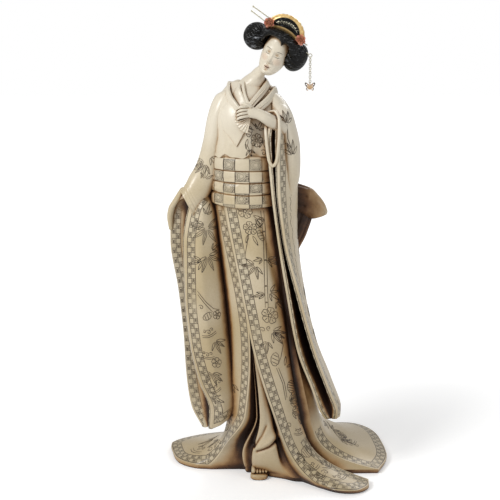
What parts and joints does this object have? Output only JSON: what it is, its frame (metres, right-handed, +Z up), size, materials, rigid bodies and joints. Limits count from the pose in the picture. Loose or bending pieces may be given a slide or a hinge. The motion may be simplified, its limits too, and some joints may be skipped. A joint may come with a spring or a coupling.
{
  "type": "standing geisha figurine",
  "caption": "Tall decorative resin statue of a standing woman in a trailing robe, with a comb, flowers and pins in her hair and a butterfly charm on a fine chain.",
  "frame": {"origin": "on the flat underside, below the body", "axes": "+Z up, -Y the front that faces the viewer, +X the viewer's right"},
  "size_m": [0.2004, 0.1592, 0.406],
  "materials": {
    "casting": "satin aged ivory, with black hair painted on",
    "gilt": "satin gold paint",
    "coral": "satin coral paint",
    "pin_metal": "polished",
    "charm_metal": "polished"
  },
  "bodies": {
    "statue": {"figure": "casting", "comb": "gilt", "flower_left": "coral", "flower_right": "coral", "hairpin_upper": "pin_metal", "hairpin_lower": "pin_metal"},
    "joining_ring": {"dangle_ring": "pin_metal"},
    "chain": {"chain_link_01": "pin_metal", "chain_link_02": "pin_metal", "chain_link_03": "pin_metal", "chain_link_04": "pin_metal", "chain_link_05": "pin_metal", "chain_link_06": "pin_metal", "chain_link_07": "pin_metal", "chain_link_08": "pin_metal", "chain_link_09": "pin_metal", "chain_link_10": "pin_metal", "chain_link_11": "pin_metal", "butterfly_ring": "pin_metal"},
    "charm": {"butterfly": "charm_metal"}
  },
  "joints": [
    {"name": "ring_swing", "type": "hinge", "parent": "statue", "child": "joining_ring", "pos_m": [0.03848, -0.01616, 0.3651], "axis": [1, 0, 0], "range_deg": [-30, 30]},
    {"name": "chain_swing", "type": "hinge", "parent": "joining_ring", "child": "chain", "pos_m": [0.03848, -0.01616, 0.36353], "axis": [0, -1, 0], "range_deg": [-8, 50]},
    {"name": "charm_swing", "type": "hinge", "parent": "chain", "child": "charm", "pos_m": [0.03848, -0.01616, 0.34317], "axis": [0, 1, 0], "range_deg": [-20, 20]}
  ]
}
